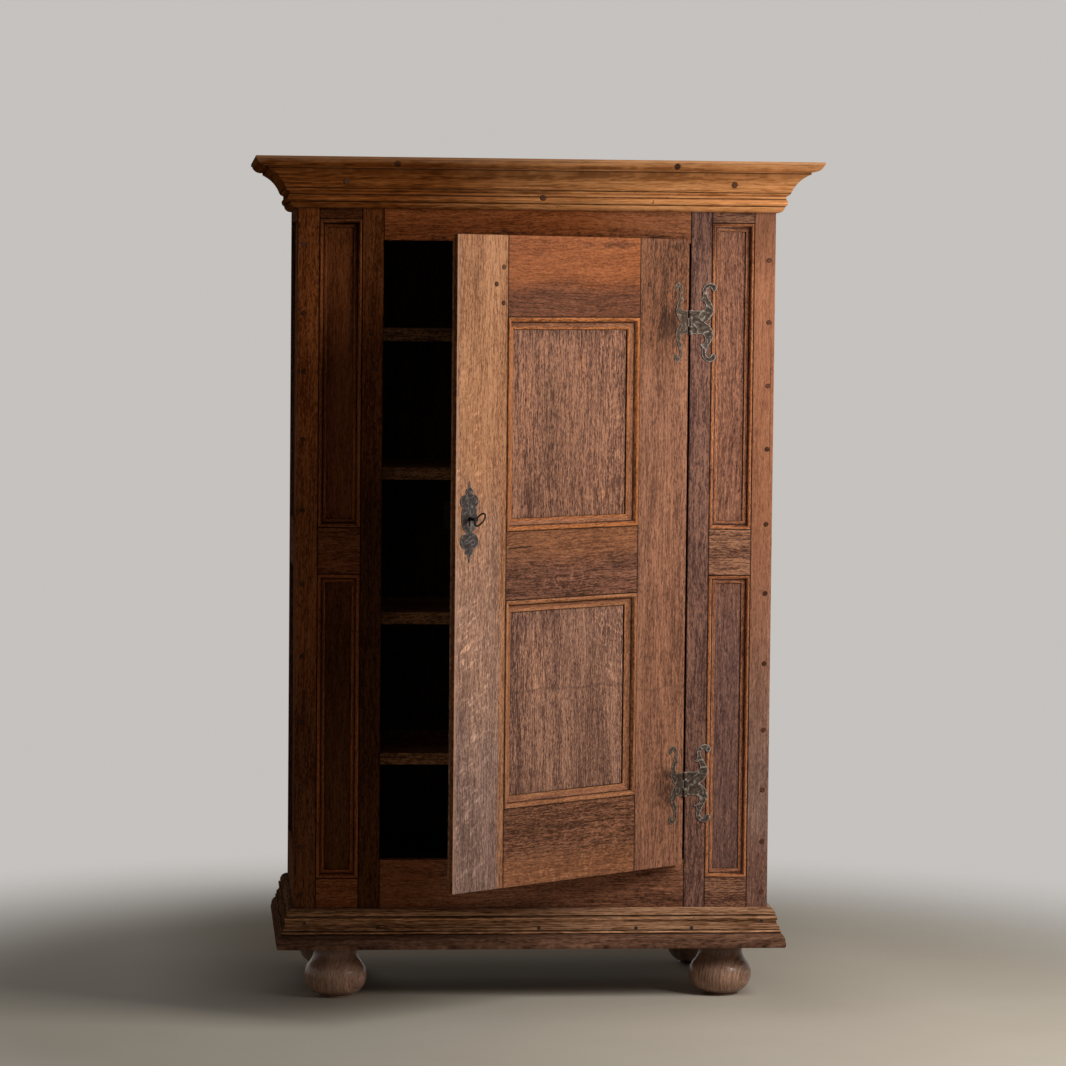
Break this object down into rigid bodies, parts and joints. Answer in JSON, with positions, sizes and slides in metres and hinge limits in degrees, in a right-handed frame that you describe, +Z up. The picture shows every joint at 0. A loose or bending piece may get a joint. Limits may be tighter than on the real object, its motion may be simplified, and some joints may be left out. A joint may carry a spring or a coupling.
{
  "type": "bonnetiere cabinet",
  "caption": "Tall oak cupboard with a panelled door ajar on scrolled iron hinges, a lock with its key, panelled flanks, moulded cornice, shelves and bun feet.",
  "frame": {"origin": "on the floor, midway across the width and midway along the footprint with the door as it stands open", "axes": "+Z up, the front faces -Y, +X to the viewer's right"},
  "size_m": [1.214, 0.9653, 1.814],
  "materials": {
    "oak_frame": "worn oiled and waxed oak, open grain",
    "oak_door": "worn oiled and waxed oak, open grain",
    "oak_mouldings": "worn oiled and waxed oak, open grain",
    "oak_dark": "worn oiled and waxed oak, open grain",
    "oak_inside": "dry, darkened oak",
    "oak_pegs": "dark end grain",
    "iron": "wrought, browned and rubbed"
  },
  "bodies": {
    "carcass": {"back_boards": "oak_inside", "back_rails": "oak_inside", "base_moulding_front": "oak_mouldings", "base_moulding_left": "oak_mouldings", "base_moulding_right": "oak_mouldings", "bottom_rail": "oak_frame", "carcass_nails": "iron", "carcass_pegs": "oak_pegs", "cornice_front": "oak_mouldings", "cornice_left": "oak_mouldings", "cornice_right": "oak_mouldings", "flank_mouldings_left": "oak_mouldings", "flank_mouldings_right": "oak_mouldings", "flank_panels_left": "oak_frame", "flank_panels_right": "oak_frame", "flank_rails_left": "oak_frame", "flank_rails_right": "oak_frame", "floor_boards": "oak_inside", "foot_front_left": "oak_dark", "foot_front_right": "oak_dark", "foot_rear_left": "oak_dark", "foot_rear_right": "oak_dark", "frieze_rail": "oak_frame", "front_post_left": "oak_frame", "front_post_right": "oak_frame", "hinge_frame_leaf_lower": "iron", "hinge_frame_leaf_upper": "iron", "hinge_pins": "iron", "jamb_hinge_side": "oak_frame", "jamb_lock_side": "oak_frame", "lock_keep": "iron", "plinth_boards": "oak_dark", "rear_posts": "oak_inside", "roof_boards": "oak_inside", "shelf_1": "oak_inside", "shelf_2": "oak_inside", "shelf_3": "oak_inside", "shelf_4": "oak_inside", "shelf_bearers": "oak_inside", "side_panels": "oak_frame", "side_rails": "oak_frame"},
    "door": {"door_hinge_stile": "oak_door", "door_lock_stile": "oak_door", "door_moulding_lower": "oak_mouldings", "door_moulding_upper": "oak_mouldings", "door_nails": "iron", "door_panel_lower": "oak_door", "door_panel_upper": "oak_door", "door_pegs": "oak_pegs", "door_rail_bottom": "oak_door", "door_rail_mid": "oak_door", "door_rail_top": "oak_door", "escutcheon": "iron", "hinge_door_leaf_lower": "iron", "hinge_door_leaf_upper": "iron", "lock_case": "iron"},
    "key": {"key": "iron"},
    "bolt": {"lock_bolt": "iron"}
  },
  "joints": [
    {"name": "door_swing", "type": "hinge", "parent": "carcass", "child": "door", "pos_m": [0.33, -0.058, 0.97], "axis": [0, 0, 1], "range_deg": [-38, 132]},
    {"name": "key_turn", "type": "hinge", "parent": "door", "child": "key", "pos_m": [-0.17268, -0.44439, 1.06604], "axis": [0.6157, -0.788, 0], "range_deg": [0, 75.2]},
    {"name": "bolt_slide", "type": "slide", "parent": "door", "child": "bolt", "axis": [-0.788, -0.6157, 0], "range_m": [0, 0.0135]}
  ],
  "couplings": [
    {"joint": "key_turn", "follows": "bolt_slide", "rad_per_m": 97.221}
  ]
}
